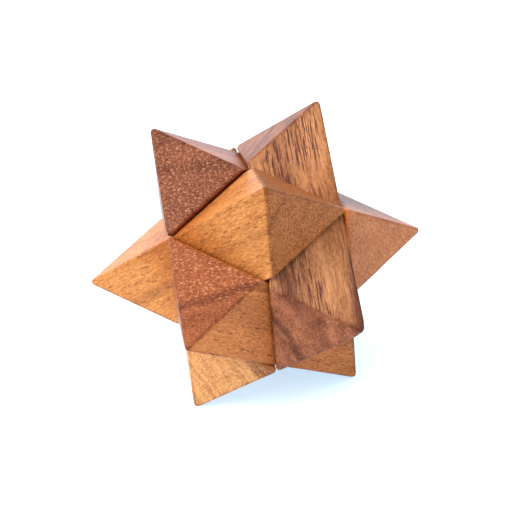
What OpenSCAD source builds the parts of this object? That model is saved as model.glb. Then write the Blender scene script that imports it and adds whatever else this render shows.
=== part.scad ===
// Six-piece star burr puzzle, in millimetres, standing on three of its twelve tips.
//
// All six pieces are the same square stick with wedge-shaped ends and two V notches.
// Each notch holds the corner of a neighbour, so no stick can leave alone. The puzzle
// opens only when three sticks slide away together from the other three, along any of
// its four three-fold axes. One of those axes is vertical here.
//
// A stick's own frame has X along the stick, Z outward from the middle of the puzzle
// and Y across. Its square section stands on one corner, on the X axis.

/* [Stick] */
// Side of the square section
stick_side = 20; // [15:1:30]
// Length from tip to tip, in sides
length_in_sides = 3; // [2.95:0.05:3.3]

/* [Fit] */
// Gap between a notch wall and the stick that it holds
play = 0.12; // [0.05:0.01:0.25]

/* [Edges] */
// How far each long outer edge and roof ridge is sanded back
edge_break = 0.2; // [0.1:0.05:0.4]
// How far the inner edge is taken back, so that opposite tips don't touch
inner_break = 0.5; // [0.3:0.1:0.8]
// How far each tip is blunted, along the axes that it can stand on
tip_break = 0.6; // [0.4:0.1:1.0]

/* [Hidden] */

diagonal = stick_side * sqrt(2);                  // across the section's corners
half_length = stick_side * length_in_sides / 2;   // middle of the stick to its tip
deep = play * sqrt(2);                            // what the play adds to a notch's depth
reach = 2 * (half_length + diagonal);             // bigger than anything that is cut

// Turns that stand the three-fold axis [1, 1, 1] upright, and its height at the middle
third = 360 / 3;
lean = acos(1 / sqrt(3));
middle_height = (half_length + diagonal) / sqrt(3) - tip_break;

// Everything on the far side of a plane that lies at a distance along its normal
module beyond(normal, distance) {
    rotate([0, acos(normal.z / norm(normal)), atan2(normal.y, normal.x)])
        translate([-reach, -reach, distance])
            cube([2 * reach, 2 * reach, reach]);
}

// The square bar, standing on its lower corner
module square_bar() {
    rotate([45, 0, 0])
        translate([-half_length, 0, 0])
            cube([2 * half_length, stick_side, stick_side]);
}

// Seen from outside, each end is a right-angled wedge that comes to a ridge
module roofed_ends() {
    linear_extrude(diagonal)
        polygon([[half_length, 0], [0, half_length], [-half_length, 0], [0, -half_length]]);
}

// The V notches: each is as deep as the middle of the section, with play on both walls
module notches() {
    for (side = [-1, 1])
        translate([side * diagonal / 2, 0, diagonal / 2 + deep])
            rotate([0, 135, 0])
                translate([0, -reach / 2, 0])
                    cube([reach / 4, reach, reach / 4]);
}

// Planes that take the sharpness off the outer edges, the inner edge and the ridges
module edge_breaks() {
    beyond([0, 0, 1], diagonal - edge_break);
    beyond([0, 0, -1], -inner_break);
    for (side = [-1, 1]) {
        beyond([0, side, 0], diagonal / 2 - edge_break);
        beyond([side, 0, 0], half_length - edge_break);
    }
}

// Two small facets on each tip, square to the three-fold axes that it can stand on
module tip_breaks() {
    for (along = [-1, 1], across = [-1, 1])
        beyond([along, across, 1], (half_length + diagonal) / sqrt(3) - tip_break);
}

module stick() {
    difference() {
        intersection() {
            square_bar();
            roofed_ends();
        }
        notches();
        edge_breaks();
        tip_breaks();
    }
}

// Puts a stick in the standing puzzle: turn counts thirds of a turn about the vertical
module in_puzzle(turn) {
    translate([0, 0, middle_height])
        rotate([0, 0, turn * third])
            rotate([-lean, 0, 0])
                rotate([0, 0, -135])
                    children();
}

module upper_stick(turn) {
    in_puzzle(turn) stick();
}

module lower_stick(turn) {
    in_puzzle(turn) rotate([180, 0, 0]) stick();
}

module upper_back_stick() {
    color([0.50, 0.28, 0.18]) upper_stick(0);
}

module upper_left_stick() {
    color([0.80, 0.50, 0.24]) upper_stick(1);
}

module upper_right_stick() {
    color([0.62, 0.40, 0.22]) upper_stick(2);
}

module lower_front_stick() {
    color([0.64, 0.36, 0.21]) lower_stick(0);
}

module lower_right_stick() {
    color([0.66, 0.42, 0.28]) lower_stick(1);
}

module lower_left_stick() {
    color([0.76, 0.50, 0.27]) lower_stick(2);
}

upper_left_stick();
upper_right_stick();
upper_back_stick();
lower_front_stick();
lower_left_stick();
lower_right_stick();
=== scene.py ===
"""Six-piece star burr puzzle in oiled hardwood, on a pale floor in soft studio light.

Every stick is the same notched, wedge-ended bar. Its own frame has X along the grain, Z outward from
the middle of the puzzle and Y across. X lies on the heel, the inner edge of the square section.
Lengths are in metres, except in the wood's own code, where they are in mm.
"""

from math import acos, cos, hypot, pi, radians, sin, sqrt

import bmesh
import bpy
from mathutils import Matrix, Vector, noise


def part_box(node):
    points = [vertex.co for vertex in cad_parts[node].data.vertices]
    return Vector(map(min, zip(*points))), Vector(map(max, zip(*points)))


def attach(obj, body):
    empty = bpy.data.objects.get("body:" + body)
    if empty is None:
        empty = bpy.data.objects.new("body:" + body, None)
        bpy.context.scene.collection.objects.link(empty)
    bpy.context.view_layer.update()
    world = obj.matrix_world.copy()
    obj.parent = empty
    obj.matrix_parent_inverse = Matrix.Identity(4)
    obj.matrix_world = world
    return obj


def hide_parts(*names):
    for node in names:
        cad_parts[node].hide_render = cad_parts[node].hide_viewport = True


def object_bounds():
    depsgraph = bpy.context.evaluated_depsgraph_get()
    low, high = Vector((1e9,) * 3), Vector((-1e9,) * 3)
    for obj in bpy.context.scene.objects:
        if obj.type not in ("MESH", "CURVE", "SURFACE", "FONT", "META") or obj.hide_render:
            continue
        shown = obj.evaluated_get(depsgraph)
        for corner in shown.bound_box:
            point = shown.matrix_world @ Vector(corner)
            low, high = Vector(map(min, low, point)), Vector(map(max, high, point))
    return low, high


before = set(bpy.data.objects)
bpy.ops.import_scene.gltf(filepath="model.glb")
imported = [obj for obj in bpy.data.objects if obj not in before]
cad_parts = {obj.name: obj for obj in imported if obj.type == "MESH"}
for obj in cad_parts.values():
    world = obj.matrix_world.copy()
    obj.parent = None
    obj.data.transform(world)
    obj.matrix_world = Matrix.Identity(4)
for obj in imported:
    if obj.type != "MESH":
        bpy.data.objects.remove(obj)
cad_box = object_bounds()

MM = 0.001
STICKS = {  # node: (body, thirds of a turn about the vertical, whether it is in the lower half)
    "upper_back_stick": ("upper_back", 0, False),
    "upper_left_stick": ("upper_left", 1, False),
    "upper_right_stick": ("upper_right", 2, False),
    "lower_front_stick": ("lower_front", 0, True),
    "lower_right_stick": ("lower_right", 1, True),
    "lower_left_stick": ("lower_left", 2, True),
}

# The upper right stick's box is square to its sides, so the box's width is the section's side
LOW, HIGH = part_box("upper_right_stick")
SIDE = HIGH.x - LOW.x
DIAGONAL = SIDE * sqrt(2)
HALF_LENGTH = SIDE * 3 / 2       # a stick is three times as long as its side
PLAY = 0.12 * MM * sqrt(2)       # how far a notch is cut past the middle of the section
BOTTOM, TOP = map(Vector, cad_box)
MIDDLE = Vector((0, 0, (BOTTOM.z + TOP.z) / 2))
LEAN = acos(1 / sqrt(3))         # brings one of the puzzle's three-fold axes upright


# ---------------------------------------------------------------- shape

def stick_place(turn, lower):
    """The matrix from a stick's own frame to the puzzle's."""
    place = Matrix.Translation(MIDDLE)
    place @= Matrix.Rotation(turn * 2 * pi / 3, 4, "Z")
    place @= Matrix.Rotation(-LEAN, 4, "X")
    place @= Matrix.Rotation(-3 * pi / 4, 4, "Z")
    if lower:
        place @= Matrix.Rotation(pi, 4, "X")
    return place


def sharp_stick():
    """The notched bar with sharp edges, as a bmesh: fifteen corners and sixteen flat faces."""
    half = DIAGONAL / 2
    solid = bmesh.new()
    corner = {}    # by name, such as side_a_l: a or b for the end, and l or r for the flank

    def add(name, along, across, out):
        corner[name] = solid.verts.new((along, across, out))

    for way, end in ((1, "_a"), (-1, "_b")):
        add("tip" + end, way * HALF_LENGTH, 0, 2 * half)
        add("heel" + end, way * HALF_LENGTH, 0, 0)
        add("toe" + end, way * (2 * half + PLAY), 0, 0)
        for hand, flank in ((1, "_l"), (-1, "_r")):
            add("side" + end + flank, way * (HALF_LENGTH - half), hand * half, half)
            add("notch" + end + flank, way * half, hand * (half - PLAY), half + PLAY)
    add("middle", 0, 0, PLAY)

    def face(*names):
        solid.faces.new([corner[n] for n in names])

    for flank in ("_l", "_r"):
        notch_a, notch_b = "notch_a" + flank, "notch_b" + flank
        face("tip_a", "side_a" + flank, notch_a, notch_b, "side_b" + flank, "tip_b")
        face("middle", notch_a, notch_b)
        for end in ("_a", "_b"):
            face("heel" + end, "tip" + end, "side" + end + flank)
            face("toe" + end, "heel" + end, "side" + end + flank, "notch" + end + flank)
    for end in ("_a", "_b"):
        face("middle", "notch" + end + "_l", "notch" + end + "_r")
        face("toe" + end, "notch" + end + "_l", "notch" + end + "_r")
    bmesh.ops.recalc_face_normals(solid, faces=solid.faces)
    return solid


EDGE_ROUNDING = 0.5 * MM
EDGE_STEP = 2.5 * MM             # how finely the edges are cut along their length
EDGE_WEAR = 0.16 * MM            # the most that handling has taken off a rounded edge
BROAD_SPOTS, FINE_SPOTS = 4, 1.3    # the sizes of the worn spots, in mm


def split_long_edges(solid):
    for edge in list(solid.edges):
        start, pieces = edge.verts[0], round(edge.calc_length() / EDGE_STEP)
        for left in range(pieces, 1, -1):
            end = edge.other_vert(start)
            _, start = bmesh.utils.edge_split(edge, start, 1 / left)
            edge = next(e for e in start.link_edges if e.other_vert(start) == end)


def round_edges(solid, shift):
    """Rounds the convex edges, and wears the rounding a little unevenly."""
    split_long_edges(solid)
    solid.normal_update()
    convex = [e for e in solid.edges if e.calc_face_angle_signed() > 0.01]
    rounded = bmesh.ops.bevel(
        solid, geom=convex, offset=EDGE_ROUNDING, offset_type="OFFSET", segments=4, profile=0.5,
        affect="EDGES", clamp_overlap=False, miter_outer="SHARP", vmesh_method="ADJ",
    )["faces"]
    rounded = set(rounded)
    solid.normal_update()
    for vertex in solid.verts:
        if rounded.issuperset(vertex.link_faces):
            place = vertex.co / MM + Vector(shift)
            wear = 0.4 + noise.noise(place / BROAD_SPOTS) + 0.5 * noise.noise(place / FINE_SPOTS)
            vertex.co -= vertex.normal * EDGE_WEAR * max(0, min(1, wear))


# Where planes touch the ball of a tip: from one flank to the other, and from the sides to the wedge
TIP_STEPS_ACROSS = (0.1, 0.25, 0.5, 0.75, 0.9)
TIP_STEPS_ROUND = (0.17, 0.5, 0.83)


def blunt_tips(solid, tip_wear):
    """Turns each tip into part of a ball, by planes that touch the ball between the tip's four faces.

    The ball touches the four faces too. Where the puzzle stands on a tip, the ball's lowest point is as
    far above the sharp tip as the wear.
    """
    for way, wear in zip((1, -1), tip_wear):
        tip, axis = Vector((way * HALF_LENGTH, 0, DIAGONAL)), Vector((way, 0, 1)).normalized()
        depth = wear * MM / (sqrt(2 / 3) - 1 / 2)
        ball, radius = tip - axis * depth, depth / 2
        for across in TIP_STEPS_ACROSS:
            side, wedge = Vector((0, 2 * across - 1, 1)), Vector((way, 2 * across - 1, 0))
            for share in TIP_STEPS_ROUND:
                normal = side.lerp(wedge, share).normalized()
                cut_and_cap(solid, ball + normal * radius, normal)


def cut_and_cap(solid, place, normal):
    """Takes off what is beyond a plane, and closes the cut."""
    everything = solid.verts[:] + solid.edges[:] + solid.faces[:]
    cut = bmesh.ops.bisect_plane(
        solid, geom=everything, plane_co=place, plane_no=normal, clear_outer=True, dist=1e-7,
    )["geom_cut"]
    rim = [part for part in cut if isinstance(part, bmesh.types.BMEdge)]
    bmesh.ops.contextual_create(solid, geom=rim)


def make_stick(node, body, turn, lower):
    look = LOOKS[body]
    solid = sharp_stick()
    round_edges(solid, look.shift)
    blunt_tips(solid, look.tip_wear)
    mesh = bpy.data.meshes.new(node)
    solid.to_mesh(mesh)
    solid.free()
    grain = mesh.attributes.new("grain_mm", "FLOAT_VECTOR", "POINT")
    grain.data.foreach_set("vector", [c / MM for v in mesh.vertices for c in v.co])
    place = stick_place(turn, lower)
    mesh.transform(place)
    mesh.polygons.foreach_set("use_smooth", [True] * len(mesh.polygons))
    grain_axis, out_axis = place.to_3x3() @ Vector((1, 0, 0)), place.to_3x3() @ Vector((0, 0, 1))
    mesh.materials.append(oiled_wood(body + "_wood", grain_axis, out_axis, look))
    stick = bpy.data.objects.new("wood_" + node, mesh)
    bpy.context.scene.collection.objects.link(stick)
    flat = stick.modifiers.new("flat_faces", "WEIGHTED_NORMAL")
    flat.weight = 100
    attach(stick, body)
    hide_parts(node)


# ---------------------------------------------------------------- what each stick's wood is like, and the shade painted on it

def srgb(*channels):
    """A colour given as it shows on a screen, from 0 to 255, as the linear values that shaders take."""
    def linear(c):
        return c / 12.92 if c < 0.04045 else ((c + 0.055) / 1.055) ** 2.4

    return tuple(linear(c / 255) for c in channels)


class Look:
    """What one stick's wood is like, with the light and shade painted on it. These values hold for every
    stick that doesn't give its own.
    """

    pith = (4, -70)         # where the rings' middle lies, across and out from the heel, in mm
    run_out = 0.0           # how far the rings rise from the heel for each mm along the stick
    fine = 0.25             # contrast of the fine growth rings
    fibre = 1.0             # contrast of the fibres
    speck = 1.0             # contrast of the finest grain
    figure = 0.5            # contrast of the broad figure
    streaks = 0.0           # how strongly dark streaks show
    waver = 1.6             # how far the fibres stray from straight, in mm
    lengthwise_shading = 0.0            # painted light and shade: how much lighter the colour gets for each mm along the stick, where light falls unevenly along it
    pore = srgb(58, 28, 20)             # colour of open vessels and dark streaks
    fleck = srgb(214, 152, 106)         # colour of the pale tissue around the vessels
    groove_width = 0.11     # a vessel's radius on the long grain, where it is cut open, in mm
    fleck_width = 0.15      # the pale tissue's outer radius, in mm
    fleck_reach = 100       # how far out from the heel the pale tissue is at its strongest, in mm
    side_pores = 0.7        # how strongly the vessels show on the long grain
    side_flecks = 0.12      # how strongly the pale tissue shows on the long grain
    end_flecks = 0.45       # and on the end grain
    notch_shading = 0.6           # how strongly the painted shade deepens the colour towards the notches
    inside = (0.97, 0.87, 0.68)         # painted shade on the faces that look inwards, into the gaps between sticks; above 1 it is painted bounce light
    tip_wear = (0.6, 0.6)   # how much is taken off the two tips, in mm

    def __init__(self, side, end, shift, spacing, rings, **own):
        self.side = side            # colour of the long grain
        self.end = end              # colour of the end grain, which drinks more oil
        self.shift = shift          # which part of the tree the stick is cut from, in mm
        self.spacing = spacing      # between vessels, in mm
        self.rings = rings          # dark growth rings: mm beyond the heel's own, half width, strength
        for name, value in own.items():
            setattr(self, name, value)


LOOKS = {
    "upper_left": Look(
        side=srgb(167, 106, 56), end=srgb(135, 78, 41), shift=(40, 3, 9), spacing=0.75,
        rings=[(22, 1.2, 0.25)], fibre=0.65, speck=1.9, figure=0.6, lengthwise_shading=-0.002,
        pore=srgb(96, 46, 24), fleck=srgb(222, 152, 80), groove_width=0.14, fleck_width=0.14,
        side_pores=0.8, side_flecks=0.38, end_flecks=0.24, notch_shading=1.0,
    ),
    "upper_right": Look(
        side=srgb(144, 94, 59), end=srgb(121, 69, 44), shift=(-70, 22, 31), spacing=0.65,
        rings=[(30.2, 3.2, 1.0), (18.5, 3.5, 0.4), (11.2, 1.6, 0.7)], pith=(8, -60), run_out=0.08,
        fibre=1.1, speck=1.5, figure=1.8, streaks=1.0, waver=1.0, pore=srgb(76, 40, 32),
        fleck_width=0.14, side_pores=0.6, end_flecks=0.14, tip_wear=(0.6, 1.0),
    ),
    "upper_back": Look(
        side=srgb(150, 86, 58), end=srgb(105, 59, 41), shift=(11, 71, -22), spacing=0.6,
        rings=[(26, 4, 0.35), (16, 2, 0.3)], speck=1.9, fleck_width=0.14, inside=(0.55, 0.33, 0.22),
    ),
    "lower_front": Look(
        side=srgb(159, 93, 48), end=srgb(118, 62, 35), shift=(95, -40, 17), spacing=0.76,
        rings=[(17.5, 1.8, 0.6), (21.5, 2.5, 0.3)], pith=(12, -80), fibre=0.7, speck=2.0, figure=0.3,
        lengthwise_shading=0.006, pore=srgb(90, 42, 22), groove_width=0.13, fleck_width=0.18, fleck_reach=18,
        side_pores=0.95, notch_shading=0.4, inside=(0.95, 0.75, 0.5),
    ),
    "lower_left": Look(
        side=srgb(190, 124, 66), end=srgb(168, 114, 67), shift=(-35, 55, 66), spacing=0.65,
        rings=[(2, 6, 0.8), (29, 4, 0.4)], fine=1.3, fibre=0.6, speck=0.9, figure=0.7,
        fleck=srgb(236, 182, 124),
    ),
    "lower_right": Look(
        side=srgb(182, 104, 50), end=srgb(154, 92, 57), shift=(25, -15, -80), spacing=0.6,
        rings=[(-13, 14, 1.0)], pith=(-80, 14), end_flecks=0.4, inside=(1.15, 1.0, 0.75),
    ),
}

DARKER, LIGHTER = (0.52, 0.42, 0.34), (1.42, 1.52, 1.66)    # the two ends of the wood's own variation
RING_TINT = (0.36, 0.27, 0.32)
BURNISHED = (0.52, 0.42, 0.38)      # on rubbed edges
NOTCH_SHADE_TINT = (0.75, 0.56, 0.38)     # painted shade and warm inter-reflected light towards the notches, where the other sticks crowd in
EDGE_BAND = 0.9                     # how far from an edge the burnished wood reaches, in mm
NOTCH_SHADE_REACH = 17                      # how far from the middle of the stick's length the painted notch shade reaches, in mm
PORE_WIDTH = 0.06                   # an open vessel's radius on the end grain, in mm
RING_DRIFT = 6                      # how far the rings stray from round, in mm
VESSEL_DRIFT = 0.9                  # how far the vessels stray from straight, in mm
CELLS_IN_SPACING = (0.75, 1.15)     # vessels stand wider apart along the rings than across them
OIL_ROUGHNESS = 0.38                # of the smooth wood between the vessels
OIL_IOR = 1.18                      # low, because the dry oil has only a soft sheen
RELIEF = 0.08 * MM                  # depth of the open vessels and the raised fibres

# How often each pattern repeats in 1 mm, along the fibres and across them
SCALES = {
    "fine_rings": (0.01, 0.9),
    "sway": (0.09, 0.22),
    "drift": (0.03, 0.11),
    "figure": (0.05, 0.35),
    "patch": (0.03, 0.2),
    "streak": (0.14, 2.6),
    "fibre": (0.25, 1.6),
    "speck": (0.8, 2.8),
    "ragged": (0.35, 1.4),
    "gaps": (0.6, 1.2),
    "rub": (0.5, 0.5),
}


# ---------------------------------------------------------------- wood material

class Shade:
    """Adds nodes to a material.

    Each call takes numbers, colours or the outputs of other nodes, and returns the new node's output.
    """

    def __init__(self, material):
        self.tree = material.node_tree

    def node(self, kind, feeds, output=0, **settings):
        made = self.tree.nodes.new("ShaderNode" + kind)
        for key, value in settings.items():
            setattr(made, key, value)
        for key, value in feeds.items():
            self.feed(made.inputs[key], value)
        return made.outputs[output]

    def feed(self, socket, value):
        if isinstance(value, bpy.types.NodeSocket):
            self.tree.links.new(value, socket)
        elif isinstance(value, tuple) and socket.type == "RGBA":
            socket.default_value = (*value, 1)
        else:
            socket.default_value = value

    def math(self, operation, *values):
        return self.node("Math", dict(enumerate(values)), operation=operation)

    def add(self, *values):
        total = values[0]
        for value in values[1:]:
            total = self.math("ADD", total, value)
        return total

    def times(self, *values):
        product = values[0]
        for value in values[1:]:
            product = self.math("MULTIPLY", product, value)
        return product

    def vector(self, x, y, z):
        return self.node("CombineXYZ", {0: x, 1: y, 2: z})

    def split(self, vector):
        return list(self.node("SeparateXYZ", {0: vector}).node.outputs)

    def noise(self, wood, pattern, detail=2, roughness=0.5, output=0):
        """A noise of 0 to 1 in the wood, at the pattern's scales."""
        x, y, z = wood
        along, across = SCALES[pattern]
        place = self.vector(self.times(x, along), self.times(y, across), self.times(z, across))
        feeds = {"Vector": place, "Scale": 1, "Detail": detail, "Roughness": roughness}
        return self.node("TexNoise", feeds, output=output)

    def centred(self, noise_value):
        """A noise about 0 instead of about a half."""
        return self.math("SUBTRACT", noise_value, 0.5)

    def step(self, value, low, high, start=0.0, end=1.0):
        """A smooth step from start to end as value goes from low to high."""
        feeds = {"Value": value, "From Min": low, "From Max": high, "To Min": start, "To Max": end}
        return self.node("MapRange", feeds, interpolation_type="SMOOTHSTEP")

    def mix(self, share, first, second, blend="MIX"):
        made = self.tree.nodes.new("ShaderNodeMix")
        made.data_type, made.blend_type = "RGBA", blend
        for socket, value in zip((made.inputs[0], made.inputs[6], made.inputs[7]), (share, first, second)):
            self.feed(socket, value)
        return made.outputs[2]

    def tint(self, share, colour, tint):
        return self.mix(share, colour, tint, blend="MULTIPLY")


def facing(s, grain_axis, out_axis):
    """How much the surface cuts across the fibres, as at the ends, and how much it looks inwards."""
    normal = s.node("NewGeometry", {}, output="Normal")

    def cosine(axis):
        return s.node("VectorMath", {0: normal, 1: axis}, output="Value", operation="DOT_PRODUCT")

    # On the flat faces each cosine is -0.7, 0 or 0.7
    end = s.step(s.math("ABSOLUTE", cosine(grain_axis)), 0.2, 0.5)
    hidden = s.step(cosine(-out_axis), 0.3, 0.6)
    return end, hidden


def wavering(s, tree, across, out, look):
    """The place about the stick's heel and the place in the tree, in mm, both with the fibres' waver."""
    x, y, z = tree
    sway = s.split(s.noise(tree, "sway", detail=1, output=1))
    aside, outwards = [s.times(s.centred(part), look.waver) for part in sway[:2]]
    return (x, s.add(across, aside), s.add(out, outwards)), (x, s.add(y, aside), s.add(z, outwards))


def growth_rings(s, wood, look):
    """How dark the growth rings make the wood, and the fine rings' variation about 0."""
    along, across, out = wood
    pith_across, pith_out = look.pith
    radius = s.math("SQRT", s.add(
        s.math("POWER", s.math("SUBTRACT", across, pith_across), 2),
        s.math("POWER", s.math("SUBTRACT", out, pith_out), 2),
    ))
    drift = s.times(s.centred(s.noise(wood, "drift")), RING_DRIFT)
    rise = s.times(s.add(along, -look.shift[0]), look.run_out)
    height = s.add(radius, -hypot(*look.pith), drift, s.times(rise, -1))
    dark = 0
    for ring_height, half_width, strength in look.rings:
        off = s.math("ABSOLUTE", s.math("SUBTRACT", height, ring_height))
        dark = s.add(dark, s.step(off, half_width / 4, half_width, strength, 0))

    # The fine rings are thin sheets, so they follow the height alone across the fibres
    by_length, by_height = SCALES["fine_rings"]
    sheets = s.vector(s.times(height, by_height), s.times(along, by_length), 0)
    fine = s.node("TexNoise", {"Vector": sheets, "Scale": 1, "Detail": 4, "Roughness": 0.65})
    return dark, s.centred(fine)


def vessels(s, wood, end, look):
    """How strongly the open vessels show, and the pale tissue around them.

    The vessels are long tubes that drift in and out of a cut, so they show as dashes on the long grain.
    """
    _, across, out = wood
    ragged = s.split(s.noise(wood, "ragged", output=1))
    across = s.add(across, s.times(s.centred(ragged[0]), VESSEL_DRIFT))
    out = s.add(out, s.times(s.centred(ragged[1]), VESSEL_DRIFT))

    # One vessel in each cell
    wide, tall = CELLS_IN_SPACING
    section = s.vector(s.times(across, wide / look.spacing), s.times(out, tall / look.spacing), 0)
    feeds = {"Vector": section, "Scale": 1, "Randomness": 0.8}
    cells = s.node("TexVoronoi", feeds, voronoi_dimensions="2D").node.outputs
    chance = s.split(cells["Color"])[0]
    size = s.add(0.6, s.times(chance, 0.7))
    off = s.math("DIVIDE", s.times(cells["Distance"], look.spacing), size)
    width = s.step(end, 0, 1, look.groove_width, PORE_WIDTH)
    pore = s.step(s.math("DIVIDE", off, width), 0.5, 1.4, 1, 0)
    fleck = s.step(off, look.fleck_width * 0.2, look.fleck_width * 1.35, 1, 0)

    gaps = s.noise(wood, "gaps")
    pore = s.times(pore, s.math("MAXIMUM", s.step(gaps, 0.50, 0.57), end))
    return pore, s.times(fleck, s.step(gaps, 0.30, 0.55, 0.5, 1))


def dark_streaks(s, wood, end, look):
    """Fine dark streaks in patches, weaker on the end grain."""
    streak = s.step(s.noise(wood, "streak", detail=4, roughness=0.65), 0.51, 0.58)
    patch = s.step(s.noise(wood, "patch", detail=1), 0.40, 0.57, 0.1, 1)
    return s.times(streak, patch, look.streaks, s.step(end, 0, 1, 1, 0.25))


def edge_nearness(s, along, across, out):
    """1 on an edge and 0 from EDGE_BAND inwards: how many planes are near, less the surface's own.

    The planes are the stick's two outer sides, the wedges of its ends and the walls of its notches. The
    inner sides aren't counted, so the edges along them keep the plain colour.
    """
    half, length = DIAGONAL / 2 / MM, HALF_LENGTH / MM
    along, aside = s.math("ABSOLUTE", along), s.math("ABSOLUTE", across)
    depths = []
    for flank in (1, -1):
        reach = s.times(aside, flank)
        depths.append(s.add(2 * half, s.times(out, -1), s.times(reach, -1)))
        depths.append(s.add(length, s.times(along, -1), s.times(reach, -1)))
    to_notch = s.math("ABSOLUTE", s.add(along, -half))
    depths.append(s.add(out, to_notch, -half))
    near = -1
    for depth in depths:
        distance = s.times(s.math("ABSOLUTE", depth), sqrt(1 / 2))
        near = s.add(near, s.step(distance, 0, EDGE_BAND, 1, 0))
    return s.math("MINIMUM", s.math("MAXIMUM", near, 0), 1)


def wood_tone_and_shading(s, wood, along, end, fibre, fine, look):
    """The wood's own variation, with painted light and shade along the stick, from 0 at its darkest to 1
    at its lightest.
    """
    speck = s.centred(s.noise(wood, "speck", roughness=0.8))
    figure = s.centred(s.noise(wood, "figure"))
    return s.add(
        0.5,
        s.times(fibre, look.fibre),
        s.times(speck, look.speck, s.add(1, s.times(end, 0.6))),
        s.times(figure, look.figure),
        s.times(fine, look.fine),
        # painted light and shade along the stick
        s.times(along, look.lengthwise_shading),
    )


def fleck_strength(s, fleck, end, dark, out, look):
    """The pale tissue is weaker in dark rings, and fades beyond its reach."""
    by_face = s.step(end, 0, 1, look.side_flecks, look.end_flecks)
    shown = s.times(fleck, by_face, s.add(1, s.times(dark, -0.5)))
    return s.times(shown, s.step(s.add(out, -look.fleck_reach), -4, 4, 1, 0.25))


def painted_notch_shade(s, along, hidden, look):
    """Painted shade: how deeply the outer faces darken towards the notches, most in the middle, and
    nothing beyond NOTCH_SHADE_REACH.
    """
    share = s.step(s.math("ABSOLUTE", along), 2, NOTCH_SHADE_REACH, look.notch_shading, 0)
    return s.times(share, s.add(1, s.times(hidden, -1)))


def oiled_wood(name, grain_axis, out_axis, look):
    """Open-pored tropical hardwood. It is solid, so every cut shows the grain that real wood would."""
    material = bpy.data.materials.new(name)
    material.use_nodes = True
    shader = material.node_tree.nodes["Principled BSDF"].inputs
    s = Shade(material)

    place = s.node("Attribute", {}, output="Vector", attribute_name="grain_mm")
    along, across, out = s.split(place)
    tree = s.split(s.node("VectorMath", {0: place, 1: look.shift}, operation="ADD"))
    end, hidden = facing(s, grain_axis, out_axis)
    by_heel, wood = wavering(s, tree, across, out, look)
    dark, fine = growth_rings(s, by_heel, look)
    pore, fleck = vessels(s, wood, end, look)
    fibre = s.centred(s.noise(wood, "fibre", detail=3, roughness=0.7))
    streak = dark_streaks(s, wood, end, look)
    edge = edge_nearness(s, along, across, out)

    # Colour, with painted shade on the inward faces and towards the notches, and painted light and shade
    # along the stick
    tone = wood_tone_and_shading(s, wood, along, end, fibre, fine, look)
    colour = s.tint(1, s.mix(end, look.side, look.end), s.mix(tone, DARKER, LIGHTER))
    colour = s.tint(dark, colour, RING_TINT)
    colour = s.mix(fleck_strength(s, fleck, end, dark, by_heel[2], look), colour, look.fleck)
    pores = s.times(pore, s.step(end, 0, 1, look.side_pores, 0.1))
    colour = s.mix(s.math("MAXIMUM", pores, streak), colour, look.pore)
    rub = s.step(s.noise(tree, "rub", detail=3), 0.35, 0.65, 0.2, 0.9)
    colour = s.tint(s.times(edge, rub), colour, BURNISHED)
    # painted shade and inter-reflected light towards the notches, on the outer faces only
    colour = s.tint(painted_notch_shade(s, along, hidden, look), colour, NOTCH_SHADE_TINT)
    # painted shade on the inward faces; where the tint is above 1, painted bounce light
    colour = s.tint(hidden, colour, look.inside)
    s.feed(shader["Base Color"], colour)

    # Satin oil finish, duller in the open vessels and on the edges, and its relief
    roughness = s.add(OIL_ROUGHNESS, s.times(pore, 0.2), s.times(fibre, 0.2), s.times(edge, 0.12))
    s.feed(shader["Roughness"], roughness)
    shader["IOR"].default_value = OIL_IOR
    height = s.add(s.times(pore, -1), s.times(streak, -0.3), s.times(fibre, 0.6))
    s.feed(shader["Normal"], s.node("Bump", {"Height": height, "Strength": 0.4, "Distance": RELIEF}))
    return material


# ---------------------------------------------------------------- camera, floor and light

def make_camera():
    """The photo's own view, from a fit to the puzzle's tips."""
    azimuth, elevation, roll = radians(-5.39), radians(33.79), radians(5.45)
    distance = 0.4035
    towards = Vector((sin(azimuth) * cos(elevation), -cos(azimuth) * cos(elevation), sin(elevation)))
    lens = bpy.data.cameras.new("camera")
    lens.lens, lens.sensor_width = 116.6, 36
    camera = bpy.data.objects.new("camera", lens)
    place = Matrix.Translation(MIDDLE + towards * distance)
    aim = (-towards).to_track_quat("-Z", "Y").to_matrix().to_4x4()
    camera.matrix_world = place @ aim @ Matrix.Rotation(-roll, 4, "Z")
    bpy.context.scene.collection.objects.link(camera)
    bpy.context.scene.camera = camera


def make_surroundings():
    """Bright, slightly cool surroundings, as in a light tent."""
    world = bpy.data.worlds.new("studio")
    world.use_nodes = True
    sky = world.node_tree.nodes["Background"].inputs
    sky["Color"].default_value = (0.84, 0.93, 1.0, 1)
    sky["Strength"].default_value = 1.85
    bpy.context.scene.world = world
    bpy.context.scene.view_settings.view_transform = "Standard"


def make_key_light():
    """One big warm light at the upper left."""
    place = Vector((-0.60, -0.10, 0.74))
    lamp = bpy.data.lights.new("key", "AREA")
    lamp.size, lamp.energy, lamp.color = 0.9, 15, (1.0, 0.93, 0.84)
    light = bpy.data.objects.new("key", lamp)
    light.location = place
    light.rotation_euler = (MIDDLE - place).to_track_quat("-Z", "Y").to_euler()
    bpy.context.scene.collection.objects.link(light)


def make_floor():
    """A pale table, lit a little from below, so that shadows on it stay pale and blue."""
    reach = 3
    sheet = bpy.data.meshes.new("floor")
    corners = [(-reach, -reach, 0), (reach, -reach, 0), (reach, reach, 0), (-reach, reach, 0)]
    sheet.from_pydata(corners, [], [(0, 1, 2, 3)])
    floor = bpy.data.objects.new("floor", sheet)
    bpy.context.scene.collection.objects.link(floor)
    paper = bpy.data.materials.new("floor")
    paper.use_nodes = True
    surface = paper.node_tree.nodes["Principled BSDF"].inputs
    surface["Base Color"].default_value = (0.6, 0.6, 0.6, 1)
    surface["Roughness"].default_value = 0.9
    surface["Emission Color"].default_value = (0.47, 0.76, 1.0, 1)
    surface["Emission Strength"].default_value = 0.70
    sheet.materials.append(paper)


make_camera()
make_surroundings()
make_key_light()
make_floor()
for node, (body, turn, lower) in STICKS.items():
    make_stick(node, body, turn, lower)
